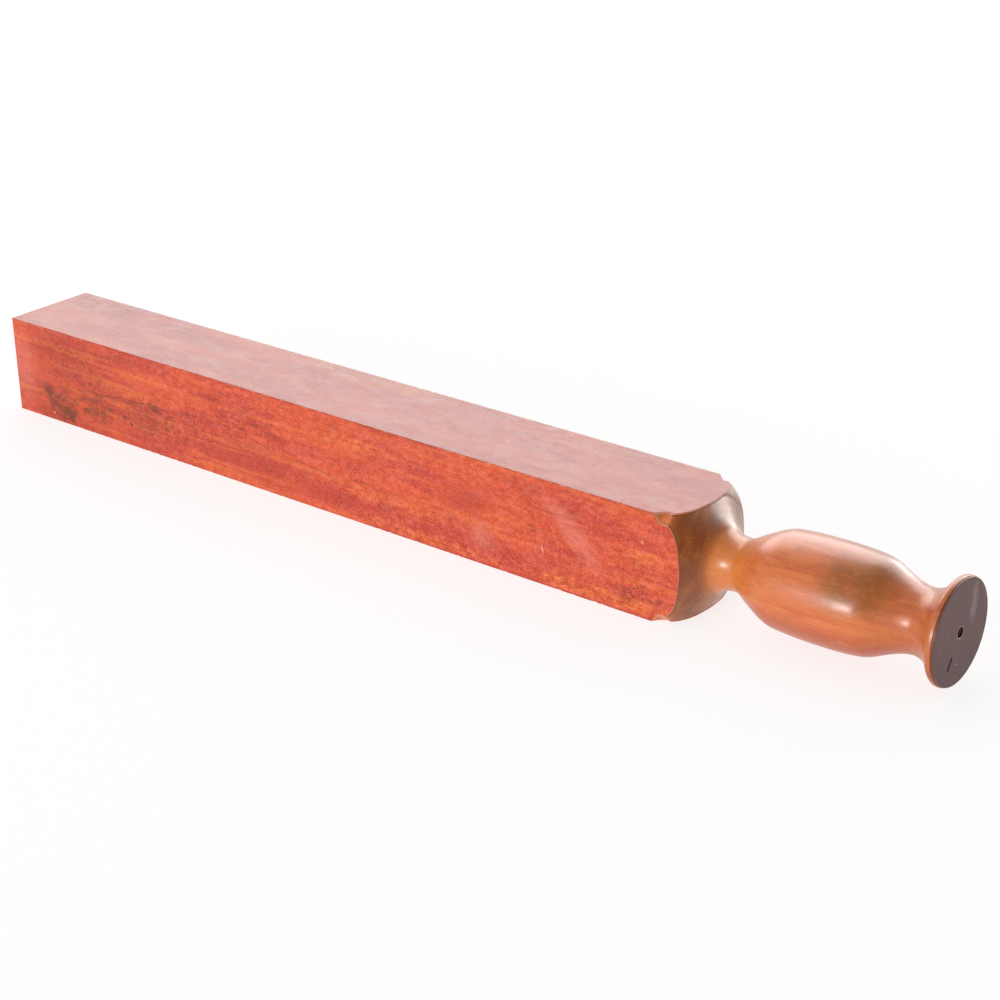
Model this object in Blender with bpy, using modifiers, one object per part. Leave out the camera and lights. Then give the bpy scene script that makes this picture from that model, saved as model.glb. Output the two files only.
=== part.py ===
"""Four-sided leather strop with a turned wooden handle.

One piece of wood makes the square core and the handle. A thin leather facing is glued to each long side
of the core, mitred along its edges, and the lathe cut that forms the shoulder also trims the facings'
ends. A thin leather disc covers the pommel.

Metres, +Z up. The origin is under the middle of the whole length, on the surface that the strop lies on.
+X runs along the strop towards the pommel, and the four facings look along +Z, -Y, -Z and +Y.
"""

import math

import bmesh
import bpy
from mathutils import Matrix, Vector

MM = 0.001
GAP = 0.3 * MM

# Driving dimensions
OVERALL_LENGTH = 477.5 * MM
SIDE = 45.0 * MM
LEATHER_THICKNESS = 0.8 * MM
DISC_THICKNESS = 0.8 * MM
DISC_RADIUS = 20.4 * MM
DISC_EDGE_ROUNDING = 0.3 * MM
CENTRE_HOLE_RADIUS = 1.95 * MM
CENTRE_HOLE_DEPTH = 8.0 * MM
DRIVE_SLOT_LENGTH = 5.1 * MM
DRIVE_SLOT_WIDTH = 0.7 * MM
DRIVE_SLOT_DEPTH = 0.5 * MM
DRIVE_SLOT_DISTANCE = 12.0 * MM
DRIVE_SLOT_TURN = math.radians(-33.0)
FAR_MARK_RADIUS = 2.2 * MM
FAR_MARK_DEPTH = 3.2 * MM

# The turned outline, from the cut through the bar's corners to the pommel. Each station is a distance
# from the far end and a radius in millimetres, then the outline's slope before and after it in degrees.
TURNED_STATIONS = (
    ("corner cut", 361.0, 32.7, -54.0, -54.0),
    ("cove", 366.6, 28.9, 0.0, 0.0),
    ("ridge", 368.0, 29.1, 4.0, -26.0),
    ("shoulder edge", 373.2, 22.8, -75.0, -61.0),
    ("shoulder foot", 378.8, 13.8, -49.0, -49.0),
    ("first neck", 388.0, 10.6, 0.0, 0.0),
    ("grip swell", 395.9, 14.2, 27.0, 27.0),
    ("grip front", 407.9, 19.2, 6.0, 6.0),
    ("belly", 426.5, 20.0, 0.0, 0.0),
    ("grip back", 443.4, 19.1, -8.0, -8.0),
    ("grip taper", 453.3, 15.3, -22.0, -22.0),
    ("second neck", 463.4, 12.7, 0.0, 0.0),
    ("pommel flare", 472.0, 17.0, 51.0, 51.0),
    ("pommel rim", 475.6, 20.8, 0.0, 0.0),
    ("pommel edge", 476.4, 20.7, -12.0, -12.0),
)

# Fineness of the turned surfaces
TURNING_STEPS = 48
POINTS_PER_STRETCH = 4
SMOOTHING_ANGLE = math.radians(30.0)

# Derived dimensions
AXIS_HEIGHT = SIDE / 2
CORE_HALF_SIDE = SIDE / 2 - LEATHER_THICKNESS - GAP
BLANK_OVERRUN = 5.0 * MM
WOOD_LENGTH = OVERALL_LENGTH - DISC_THICKNESS - GAP
FACING_BLANK_LENGTH = 380.0 * MM
ENVELOPE_BAR_RADIUS = 34.0 * MM


def start_clean():
    """Removes what the scene holds and makes the part's and the cutters' collections."""
    for item in list(bpy.data.objects):
        bpy.data.objects.remove(item)
    collections = []
    for name in ("leather_strop", "cutters"):
        collection = bpy.data.collections.new(name)
        bpy.context.scene.collection.children.link(collection)
        collections.append(collection)
    return collections


def along(distance):
    """World X of a point at a distance from the far end."""
    return distance - OVERALL_LENGTH / 2


def material(name, colour, roughness):
    """A Principled material; colour is linear RGB."""
    result = bpy.data.materials.new(name)
    result.use_nodes = True
    shader = result.node_tree.nodes["Principled BSDF"]
    shader.inputs["Base Color"].default_value = (*colour, 1.0)
    shader.inputs["Roughness"].default_value = roughness
    shader.inputs["Metallic"].default_value = 0.0
    return result


def object_from(work, name, collection):
    """Turns a bmesh into an object in a collection, with its faces pointing out."""
    bmesh.ops.recalc_face_normals(work, faces=work.faces)
    mesh = bpy.data.meshes.new(name)
    work.to_mesh(mesh)
    work.free()
    result = bpy.data.objects.new(name, mesh)
    collection.objects.link(result)
    return result


def as_cutter(item):
    """Marks an object as a guide that is not part of the strop."""
    item.hide_render = True
    item.display_type = "WIRE"
    return item


def box(name, low, high, collection):
    """A box between two corners."""
    work = bmesh.new()
    bmesh.ops.create_cube(work, size=1.0)
    low, high = Vector(low), Vector(high)
    bmesh.ops.scale(work, vec=high - low, verts=work.verts)
    bmesh.ops.translate(work, vec=(low + high) / 2, verts=work.verts)
    return object_from(work, name, collection)


def turned(name, outline, collection, ring=False):
    """A solid of revolution about the strop's axis.

    The outline is (distance, radius) pairs that follow the outside from the far end towards the pommel; a
    ring's outline is closed. The screw turns about the object's own Z, which then lies along world X, so
    its profile starts at the pommel end.
    """
    work = bmesh.new()
    points = [work.verts.new((radius, 0.0, along(distance))) for distance, radius in reversed(outline)]
    for first, second in zip(points, points[1:]):
        work.edges.new((first, second))
    if ring:
        work.edges.new((points[-1], points[0]))
    mesh = bpy.data.meshes.new(name)
    work.to_mesh(mesh)
    work.free()
    result = bpy.data.objects.new(name, mesh)
    collection.objects.link(result)
    result.rotation_euler = (0.0, math.radians(90.0), 0.0)
    result.location = (0.0, 0.0, AXIS_HEIGHT)
    screw = result.modifiers.new("turning", "SCREW")
    screw.axis = "Z"
    screw.steps = TURNING_STEPS
    screw.render_steps = TURNING_STEPS
    screw.use_merge_vertices = True
    screw.merge_threshold = 0.00001
    return result


def add_boolean(item, other, operation):
    """Cuts or intersects an object with another."""
    boolean = item.modifiers.new(other.name, "BOOLEAN")
    boolean.operation = operation
    boolean.solver = "EXACT"
    boolean.object = other


def turned_stretch(start, end):
    """Points of one stretch of the turned outline, from a station up to the next one.

    The stretch is a cubic whose end tangents have the stations' slopes and the length of the chord.
    """
    _, start_distance, start_radius, _, start_slope = start
    _, end_distance, end_radius, end_slope, _ = end
    first = Vector((start_distance, start_radius)) * MM
    last = Vector((end_distance, end_radius)) * MM
    chord = (last - first).length
    start_angle = math.radians(start_slope)
    end_angle = math.radians(end_slope)
    leaving = Vector((math.cos(start_angle), math.sin(start_angle))) * chord
    arriving = Vector((math.cos(end_angle), math.sin(end_angle))) * chord
    points = []
    for step in range(POINTS_PER_STRETCH):
        t = step / POINTS_PER_STRETCH
        point = (
            first * (2 * t**3 - 3 * t**2 + 1)
            + leaving * (t**3 - 2 * t**2 + t)
            + last * (3 * t**2 - 2 * t**3)
            + arriving * (t**3 - t**2)
        )
        points.append(tuple(point))
    return points


def envelope_outline():
    """Everything that the lathe leaves, from one lathe-centre mark to the other.

    It starts with the conical mark in the far end, is wide open along the bar, follows the turned outline
    and ends in the blind centre hole of the pommel.
    """
    mark_slope = FAR_MARK_RADIUS / FAR_MARK_DEPTH
    outline = [
        (FAR_MARK_DEPTH, 0.0),
        (-BLANK_OVERRUN, FAR_MARK_RADIUS + BLANK_OVERRUN * mark_slope),
        (-BLANK_OVERRUN, ENVELOPE_BAR_RADIUS),
        (TURNED_STATIONS[0][1] * MM - BLANK_OVERRUN, ENVELOPE_BAR_RADIUS),
    ]
    for start, end in zip(TURNED_STATIONS, TURNED_STATIONS[1:]):
        outline.extend(turned_stretch(start, end))
    hole_bottom = WOOD_LENGTH - CENTRE_HOLE_DEPTH
    outline.extend(
        [
            (WOOD_LENGTH, TURNED_STATIONS[-1][2] * MM),
            (WOOD_LENGTH, CENTRE_HOLE_RADIUS),
            (hole_bottom, CENTRE_HOLE_RADIUS),
            (hole_bottom - CENTRE_HOLE_RADIUS, 0.0),
        ]
    )
    return outline


def drive_slot(cutters):
    """The cutter of the short radial slot below the centre hole."""
    face = along(OVERALL_LENGTH)
    low = (face - DRIVE_SLOT_DEPTH, -DRIVE_SLOT_WIDTH / 2, -DRIVE_SLOT_DISTANCE - DRIVE_SLOT_LENGTH / 2)
    high = (face + BLANK_OVERRUN, DRIVE_SLOT_WIDTH / 2, -DRIVE_SLOT_DISTANCE + DRIVE_SLOT_LENGTH / 2)
    slot = as_cutter(box("drive_slot", low, high, cutters))
    slot.location = (0.0, 0.0, AXIS_HEIGHT)
    slot.rotation_euler = (DRIVE_SLOT_TURN, 0.0, 0.0)
    return slot


def wood_body(collection, envelope, wood):
    """The square core and the handle, in one piece of wood."""
    low = (along(0.0), -CORE_HALF_SIDE, AXIS_HEIGHT - CORE_HALF_SIDE)
    high = (along(OVERALL_LENGTH + BLANK_OVERRUN), CORE_HALF_SIDE, AXIS_HEIGHT + CORE_HALF_SIDE)
    body = box("wood_body", low, high, collection)
    add_boolean(body, envelope, "INTERSECT")
    body.data.materials.append(wood)
    return body


def facing(name, turn, collection, envelope, leather):
    """One leather facing: a slab with 45 degree mitres on its long edges, trimmed by the lathe cut.

    It is made on the top of the bar and turned about the strop's axis to its own side.
    """
    work = bmesh.new()
    bmesh.ops.create_cube(work, size=1.0)
    mitre_clearance = GAP / math.sqrt(2.0)
    outer_half_width = SIDE / 2 - mitre_clearance
    inner_half_width = outer_half_width - LEATHER_THICKNESS
    for vertex in work.verts:
        outer = vertex.co.z > 0.0
        half_width = outer_half_width if outer else inner_half_width
        vertex.co.x = along(FACING_BLANK_LENGTH) if vertex.co.x > 0.0 else along(0.0)
        vertex.co.y = math.copysign(half_width, vertex.co.y)
        vertex.co.z = SIDE / 2 if outer else SIDE / 2 - LEATHER_THICKNESS
    bmesh.ops.rotate(work, verts=work.verts, cent=(0.0, 0.0, 0.0), matrix=Matrix.Rotation(turn, 3, "X"))
    bmesh.ops.translate(work, vec=(0.0, 0.0, AXIS_HEIGHT), verts=work.verts)
    result = object_from(work, name, collection)
    add_boolean(result, envelope, "INTERSECT")
    result.data.materials.append(leather)
    return result


def pommel_disc(collection, slot, leather):
    """The thin disc on the pommel, with a rounded rim, the centre hole and the drive slot."""
    inner = OVERALL_LENGTH - DISC_THICKNESS
    round_start = OVERALL_LENGTH - DISC_EDGE_ROUNDING
    outline = [(inner, CENTRE_HOLE_RADIUS), (inner, DISC_RADIUS), (round_start, DISC_RADIUS)]
    for degrees in (30.0, 60.0, 90.0):
        angle = math.radians(degrees)
        distance = round_start + DISC_EDGE_ROUNDING * math.sin(angle)
        radius = DISC_RADIUS - DISC_EDGE_ROUNDING * (1.0 - math.cos(angle))
        outline.append((distance, radius))
    outline.append((OVERALL_LENGTH, CENTRE_HOLE_RADIUS))
    disc = turned("pommel_disc", outline, collection, ring=True)
    add_boolean(disc, slot, "DIFFERENCE")
    disc.data.materials.append(leather)
    return disc


def shade_round(item):
    """Keeps what the modifiers make as the object's own mesh, smooth where it turns gently."""
    evaluated = item.evaluated_get(bpy.context.evaluated_depsgraph_get())
    mesh = bpy.data.meshes.new_from_object(evaluated)
    item.modifiers.clear()
    item.data = mesh
    mesh.shade_smooth()
    mesh.set_sharp_from_angle(angle=SMOOTHING_ANGLE)


def main():
    part, cutters = start_clean()
    wood = material("turned_wood", (0.42, 0.13, 0.035), 0.35)
    red_leather = material("red_leather", (0.60, 0.12, 0.055), 0.45)
    dark_leather = material("dark_leather", (0.13, 0.095, 0.10), 0.5)

    envelope = as_cutter(turned("lathe_envelope", envelope_outline(), cutters))
    pieces = [wood_body(part, envelope, wood)]
    for quarter_turns, name in enumerate(("leather_top", "leather_front", "leather_bottom", "leather_back")):
        pieces.append(facing(name, math.radians(90.0) * quarter_turns, part, envelope, red_leather))
    pieces.append(pommel_disc(part, drive_slot(cutters), dark_leather))
    for piece in pieces:
        shade_round(piece)


main()
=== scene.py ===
"""Looks of the four-sided leather strop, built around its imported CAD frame.

The wood, the four leather facings and the pommel disc are rebuilt finely where the CAD says they are:
turned wood with tool marks, thin leather with worn and nicked arrises, and a cut disc. All patterns are
procedural and are placed in millimetres from the strop's far end.
"""

import math

import bmesh
import bpy
from mathutils import Matrix, Vector, noise


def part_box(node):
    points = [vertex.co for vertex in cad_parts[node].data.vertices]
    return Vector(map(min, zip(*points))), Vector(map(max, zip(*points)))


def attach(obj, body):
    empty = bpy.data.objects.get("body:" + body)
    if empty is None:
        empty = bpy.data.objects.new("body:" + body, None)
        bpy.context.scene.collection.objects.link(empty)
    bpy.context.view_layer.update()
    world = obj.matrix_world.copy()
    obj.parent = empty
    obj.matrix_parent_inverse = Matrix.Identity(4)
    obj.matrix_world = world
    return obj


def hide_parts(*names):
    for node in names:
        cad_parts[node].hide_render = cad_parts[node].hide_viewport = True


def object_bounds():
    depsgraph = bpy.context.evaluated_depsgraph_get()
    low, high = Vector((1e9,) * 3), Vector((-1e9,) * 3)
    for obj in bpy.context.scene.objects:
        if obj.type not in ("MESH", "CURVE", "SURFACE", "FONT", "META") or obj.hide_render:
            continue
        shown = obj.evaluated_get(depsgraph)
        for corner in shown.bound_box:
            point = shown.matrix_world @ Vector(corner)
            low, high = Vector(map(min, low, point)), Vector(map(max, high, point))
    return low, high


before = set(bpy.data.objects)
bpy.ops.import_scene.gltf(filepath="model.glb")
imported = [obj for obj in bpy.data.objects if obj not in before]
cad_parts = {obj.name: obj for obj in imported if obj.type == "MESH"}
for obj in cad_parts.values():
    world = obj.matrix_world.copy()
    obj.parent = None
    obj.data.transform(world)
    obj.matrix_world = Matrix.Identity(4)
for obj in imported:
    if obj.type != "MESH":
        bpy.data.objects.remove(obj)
cad_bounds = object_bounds()

MM = 0.001

# Places, read from the frame
FAR_END = cad_bounds[0].x
PALM_END = cad_bounds[1].x
SIDE = cad_bounds[1].z - cad_bounds[0].z
HALF_SIDE_MM = round(SIDE / 2 / MM, 3)
AXIS_HEIGHT = (cad_bounds[1].z + cad_bounds[0].z) / 2
DISC_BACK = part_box("pommel_disc")[0].x
DISC_RADIUS = (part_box("pommel_disc")[1].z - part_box("pommel_disc")[0].z) / 2

# Leather and its seams
SEAM = 0.015 * MM
LEATHER_THICKNESS = 0.95 * MM
WOOD_SEAM = 0.02 * MM
CORE_HALF_SIDE = SIDE / 2 - LEATHER_THICKNESS - WOOD_SEAM
ARRIS_RADIUS = 0.14 * MM
NICK_RADIUS = 1.0 * MM
LEATHER_STEP_ALONG = 0.8 * MM
LEATHER_STEP_ACROSS = 0.95 * MM
LEATHER_WAVE = 0.07 * MM
WAVE_LENGTH = 38.0 * MM
WAVE_WIDTH = 12.0 * MM
WAVE_MARGIN = 6.0 * MM
END_ROUNDING = 0.25 * MM
ARRIS_STEPS = 5

# The turned outline, as in the CAD: millimetres from the far end, radius, slope before and after.
TURNED_STATIONS = (
    ("corner cut", 361.0, 32.7, -54.0, -54.0),
    ("cove", 366.6, 28.9, 0.0, 0.0),
    ("ridge", 368.0, 29.1, 4.0, -26.0),
    ("shoulder edge", 373.2, 22.8, -75.0, -61.0),
    ("shoulder foot", 378.8, 13.8, -49.0, -49.0),
    ("first neck", 388.0, 10.6, 0.0, 0.0),
    ("grip swell", 395.9, 14.2, 27.0, 27.0),
    ("grip front", 407.9, 19.2, 6.0, 6.0),
    ("belly", 426.5, 20.0, 0.0, 0.0),
    ("grip back", 443.4, 19.1, -8.0, -8.0),
    ("grip taper", 453.3, 15.3, -22.0, -22.0),
    ("second neck", 463.4, 12.7, 0.0, 0.0),
    ("pommel flare", 472.0, 17.0, 51.0, 51.0),
    ("pommel rim", 475.6, 20.8, 0.0, 0.0),
    ("pommel edge", 476.4, 20.7, -12.0, -12.0),
)
SHOULDER_FOOT = TURNED_STATIONS[4]
TO_AXIS = Matrix.Translation((0.0, 0.0, AXIS_HEIGHT))
POINTS_PER_STRETCH = 20
TURNING_STEPS = 224
BAR_CLEARANCE_RADIUS = 34.0 * MM
OVERRUN = 5.0 * MM
CENTRE_HOLE_RADIUS = 1.95 * MM
CENTRE_HOLE_DEPTH = 8.0 * MM
FAR_MARK_RADIUS = 2.2 * MM
FAR_MARK_DEPTH = 3.2 * MM
TOOL_MARK_DEPTH = 0.02 * MM
POMMEL_CHAMFER = 0.2 * MM
HOLE_CHAMFER = 0.25 * MM
MERGE_DISTANCE = 0.002 * MM

# The pommel disc
DISC_GAP = 0.05 * MM
DISC_EDGE_ROUNDING = 0.28 * MM
DISC_WAVER = 0.06 * MM
DISC_BACK_CHAMFER = 0.1 * MM
DISC_DISHING = 0.03 * MM
DRIVE_SLOT_LENGTH = 5.1 * MM
DRIVE_SLOT_WIDTH = 1.1 * MM
DRIVE_SLOT_DEPTH = 0.5 * MM
DRIVE_SLOT_DISTANCE = 12.0 * MM
DRIVE_SLOT_TURN = math.radians(-33.0)

# Camera, aimed from an azimuth off the front face towards the pommel, and an elevation
CAMERA_TARGET = (0.0324, 0.0, 0.0176)
CAMERA_DISTANCE = 0.8856
CAMERA_AZIMUTH = math.radians(38.884)
CAMERA_ELEVATION = math.radians(24.222)
CAMERA_ROLL = math.radians(-0.80)
CAMERA_LENS = 78.69
CAMERA_SENSOR = 36.0

# Shading
SMOOTHING_ANGLE = math.radians(32.0)
WOOD_RELIEF = 0.04 * MM
LEATHER_RELIEF = 0.06 * MM

# Studio. Each light has an azimuth and elevation in degrees, its distance, width and height in metres, its
# radiance and tint, and whether it also lights matt surfaces. The others only show as sheen on the finish.
LIGHTS = {
    "key": (-11.0, 6.5, 2.4, 0.62, 0.54, 8.5, (1.0, 0.98, 0.96), True),
    "key_sheen": (-11.0, 6.5, 2.35, 0.44, 0.38, 24.0, (1.0, 0.98, 0.97), False),
    "key_halo": (-11.0, 9.0, 2.5, 1.5, 1.2, 1.4, (1.0, 0.98, 0.96), True),
    "overhead_sheen": (218.0, 39.0, 1.6, 2.4, 1.36, 4.05, (1.0, 0.98, 0.97), False),
    "rim_sheen": (161.0, 8.0, 1.5, 1.4, 0.60, 7.0, (1.0, 0.99, 0.97), False),
    "backdrop_sheen": (208.0, 9.0, 2.4, 3.2, 0.72, 0.4, (1.0, 0.98, 0.97), False),
}
LIGHT_TARGET = Vector((0.1, 0.0, AXIS_HEIGHT))
WHITE = (1.0, 1.0, 1.0, 1.0)
WORLD_SIDES = 0.68
WORLD_OVERHEAD = 0.58
WORLD_POMMEL_SHARE = 0.4
FLOOR_SIDE = 14.0
FLOOR_COLOUR = (0.35, 0.35, 0.35, 1.0)
FLOOR_GLOW = 0.77
FLOOR_ROUGHNESS = 0.9
FLOOR_SPECULAR = 0.1


# ---------------------------------------------------------------- geometry helpers


def along(distance):
    """World X of a point at a distance from the far end."""
    return FAR_END + distance


def link(name, data):
    """A new object of a mesh, light or camera in the scene."""
    item = bpy.data.objects.new(name, data)
    bpy.context.scene.collection.objects.link(item)
    return item


def link_work(name, work):
    """A new object of a bmesh, which is freed."""
    mesh = bpy.data.meshes.new(name)
    work.to_mesh(mesh)
    work.free()
    return link(name, mesh)


def mesh_from(name, points, faces):
    """A mesh object whose faces point out."""
    work = bmesh.new()
    verts = [work.verts.new(point) for point in points]
    for face in faces:
        work.faces.new([verts[index] for index in face])
    bmesh.ops.recalc_face_normals(work, faces=work.faces)
    return link_work(name, work)


def turned_stretch(start, end, count):
    """Points of the cubic between two stations, as in the CAD, from the first up to the next."""
    _, start_distance, start_radius, _, start_slope = start
    _, end_distance, end_radius, end_slope, _ = end
    first = Vector((start_distance, start_radius)) * MM
    last = Vector((end_distance, end_radius)) * MM
    chord = (last - first).length
    start_angle = math.radians(start_slope)
    end_angle = math.radians(end_slope)
    leaving = Vector((math.cos(start_angle), math.sin(start_angle))) * chord
    arriving = Vector((math.cos(end_angle), math.sin(end_angle))) * chord
    points = []
    for step in range(count):
        t = step / count
        point = (
            first * (2 * t**3 - 3 * t**2 + 1)
            + leaving * (t**3 - 2 * t**2 + t)
            + last * (3 * t**2 - 2 * t**3)
            + arriving * (t**3 - t**2)
        )
        points.append((point.x, point.y))
    return points


def tool_mark(distance):
    """How much deeper the gouge went at a distance along the handle: fine, uneven ridges."""
    millimetres = distance / MM
    fine = noise.noise(Vector((millimetres * 1.9, 0.0, 0.0)))
    broad = noise.noise(Vector((millimetres * 0.45, 7.0, 0.0)))
    return TOOL_MARK_DEPTH * (0.4 + 0.35 * fine + 0.6 * broad)


def turned_outline(last_station):
    """The lathe's outline from the open bar to a station, with tool marks on the handle."""
    outline = [(TURNED_STATIONS[0][1] * MM - OVERRUN, BAR_CLEARANCE_RADIUS)]
    for start, end in zip(TURNED_STATIONS[:last_station], TURNED_STATIONS[1:]):
        for distance, radius in turned_stretch(start, end, POINTS_PER_STRETCH):
            outline.append((distance, radius - tool_mark(distance)))
    return outline


def turned(name, outline, ring=False):
    """A solid of revolution about the strop's axis, as a plain mesh in place.

    The screw turns about the object's own Z, which then lies along world X, so the profile that it reads
    starts at the pommel end and runs down the outer side.
    """
    work = bmesh.new()
    points = [work.verts.new((radius, 0.0, along(distance))) for distance, radius in reversed(outline)]
    for first, second in zip(points, points[1:]):
        work.edges.new((first, second))
    if ring:
        work.edges.new((points[-1], points[0]))
    item = link_work(name, work)
    screw = item.modifiers.new("turning", "SCREW")
    screw.axis = "Z"
    screw.steps = TURNING_STEPS
    screw.render_steps = TURNING_STEPS
    screw.use_merge_vertices = True
    screw.merge_threshold = MERGE_DISTANCE
    apply_modifiers(item)
    item.data.transform(TO_AXIS @ Matrix.Rotation(math.radians(90.0), 4, "Y"))
    return item


def apply_modifiers(item):
    """Keeps what an object's modifiers make as its own mesh."""
    bpy.context.view_layer.update()
    evaluated = item.evaluated_get(bpy.context.evaluated_depsgraph_get())
    mesh = bpy.data.meshes.new_from_object(evaluated)
    item.modifiers.clear()
    item.data = mesh


def cut(item, other, operation):
    """Cuts or intersects a mesh object with another, exactly."""
    boolean = item.modifiers.new(operation, "BOOLEAN")
    boolean.operation = operation
    boolean.solver = "EXACT"
    boolean.object = other
    apply_modifiers(item)


def discard(item):
    """Removes a helper object."""
    bpy.data.objects.remove(item)


def finish_piece(item, node, material):
    """Gives a piece its material and shading, and hangs it on the frame in place of its CAD node."""
    item.data.materials.clear()
    item.data.materials.append(material)
    item.data.shade_smooth()
    item.data.set_sharp_from_angle(angle=SMOOTHING_ANGLE)
    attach(item, "root")
    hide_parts(node)


# ---------------------------------------------------------------- pieces


def build_wood():
    """The square core and turned handle, with both lathe-centre marks."""
    mark_slope = FAR_MARK_RADIUS / FAR_MARK_DEPTH
    wood_length = DISC_BACK - DISC_GAP - FAR_END
    hole_bottom = wood_length - CENTRE_HOLE_DEPTH
    pommel_radius = TURNED_STATIONS[-1][2] * MM
    outline = [
        (FAR_MARK_DEPTH, 0.0),
        (-OVERRUN, FAR_MARK_RADIUS + OVERRUN * mark_slope),
        (-OVERRUN, BAR_CLEARANCE_RADIUS),
    ]
    outline += turned_outline(len(TURNED_STATIONS) - 1)
    outline += [
        (wood_length - 0.75 * POMMEL_CHAMFER, pommel_radius),
        (wood_length, pommel_radius - POMMEL_CHAMFER),
        (wood_length, CENTRE_HOLE_RADIUS + HOLE_CHAMFER),
        (wood_length - HOLE_CHAMFER, CENTRE_HOLE_RADIUS),
        (hole_bottom, CENTRE_HOLE_RADIUS),
        (hole_bottom - CENTRE_HOLE_RADIUS, 0.0),
    ]
    envelope = turned("wood_envelope", outline)
    low = Vector((FAR_END, -CORE_HALF_SIDE, AXIS_HEIGHT - CORE_HALF_SIDE))
    high = Vector((PALM_END + OVERRUN, CORE_HALF_SIDE, AXIS_HEIGHT + CORE_HALF_SIDE))
    work = bmesh.new()
    bmesh.ops.create_cube(work, size=1.0)
    bmesh.ops.scale(work, vec=high - low, verts=work.verts)
    bmesh.ops.translate(work, vec=(low + high) / 2, verts=work.verts)
    wood = link_work("strop_wood", work)
    cut(wood, envelope, "INTERSECT")
    discard(envelope)
    return wood


def arris_radius(arris, distance):
    """The rounding of one of the bar's four arrises at a distance along it, larger at a nick."""
    millimetres = distance / MM
    worn = noise.noise(Vector((millimetres / 9.0, 3.1 * arris, 0.0)))
    nick = noise.noise(Vector((millimetres / 1.7, 5.3 * arris, 9.0)))
    nick = max(0.0, nick - 0.42) / 0.35
    return ARRIS_RADIUS * (1.0 + 0.5 * worn) + NICK_RADIUS * min(1.0, nick)


def leather_section(distance, left_radius, right_radius, seed):
    """One cross-section of a facing, as (across, height) pairs around the leather.

    It starts at the foot of the left mitre, runs over the outer surface, which is rounded towards each
    arris and slightly uneven, and ends at the foot of the right mitre. Heights inwards are negative.
    """
    half = SIDE / 2 - SEAM
    flat_steps = int(SIDE / LEATHER_STEP_ACROSS)
    left = []
    right = []
    for step in range(ARRIS_STEPS + 1):
        angle = math.radians(45.0) * step / ARRIS_STEPS
        left.append((-half + left_radius * (1 - math.sin(angle)), left_radius * (math.cos(angle) - 1)))
        right.append((half - right_radius * (1 - math.sin(angle)), right_radius * (math.cos(angle) - 1)))
    outer = []
    for step in range(1, flat_steps):
        across = left[0][0] + (right[0][0] - left[0][0]) * step / flat_steps
        inset = min(1.0, (half - abs(across)) / WAVE_MARGIN)
        wave = noise.noise(Vector((distance / WAVE_LENGTH, across / WAVE_WIDTH, seed)))
        outer.append((across, -LEATHER_WAVE * (0.5 + 0.5 * wave) * inset))
    foot = half - LEATHER_THICKNESS
    return [(-foot, -LEATHER_THICKNESS)] + left[::-1] + outer + right + [(foot, -LEATHER_THICKNESS)]


def build_facing(name, turn, trim):
    """One leather facing, mitred along its arrises, rounded at the far end and cut at the shoulder.

    Its left arris has the facing's own number and its right arris is the left one of the facing before,
    so that both sides of an arris are worn and nicked alike.
    """
    blank_length = SHOULDER_FOOT[1] * MM
    steps = int(blank_length / LEATHER_STEP_ALONG)
    distances = [END_ROUNDING * share for share in (0.0, 0.15, 0.4, 0.7)]
    distances += [END_ROUNDING + (blank_length - END_ROUNDING) * step / steps for step in range(steps + 1)]
    points = []
    for distance in distances:
        left_radius = arris_radius(turn, distance)
        right_radius = arris_radius((turn - 1) % 4, distance)
        section = leather_section(distance, left_radius, right_radius, 11.0 * turn)
        short = max(0.0, 1.0 - distance / END_ROUNDING)
        drop = END_ROUNDING * (1.0 - math.sqrt(1.0 - short * short))
        for across, height in section:
            reach = 1.0 + height / LEATHER_THICKNESS
            points.append((along(distance), across, SIDE / 2 + height - drop * reach))
    count = len(section)
    faces = [tuple(range(count)), tuple(range(len(points) - count, len(points)))[::-1]]
    for row in range(len(distances) - 1):
        for column in range(count):
            here = row * count + column
            beside = row * count + (column + 1) % count
            faces.append((here, beside, beside + count, here + count))
    facing = mesh_from(name, points, faces)
    facing.data.transform(TO_AXIS @ Matrix.Rotation(math.radians(90.0) * turn, 4, "X"))
    cut(facing, trim, "INTERSECT")
    return facing


def build_slot_cutter():
    """The drive slot's shape: a narrow bar with rounded ends, standing through the disc's face."""
    work = bmesh.new()
    bmesh.ops.create_cube(work, size=1.0)
    size = (OVERRUN, DRIVE_SLOT_WIDTH, DRIVE_SLOT_LENGTH)
    bmesh.ops.scale(work, vec=size, verts=work.verts)
    upright = [edge for edge in work.edges if abs(edge.verts[0].co.x - edge.verts[1].co.x) > OVERRUN / 2]
    rounding = DRIVE_SLOT_WIDTH * 0.42
    bmesh.ops.bevel(work, geom=upright, offset=rounding, segments=4, affect="EDGES", profile=0.5)
    reach = PALM_END - DRIVE_SLOT_DEPTH + OVERRUN / 2
    bmesh.ops.translate(work, vec=(reach, 0.0, -DRIVE_SLOT_DISTANCE), verts=work.verts)
    turn = TO_AXIS @ Matrix.Rotation(DRIVE_SLOT_TURN, 4, "X")
    bmesh.ops.transform(work, matrix=turn, verts=work.verts)
    return link_work("slot_cutter", work)


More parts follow.
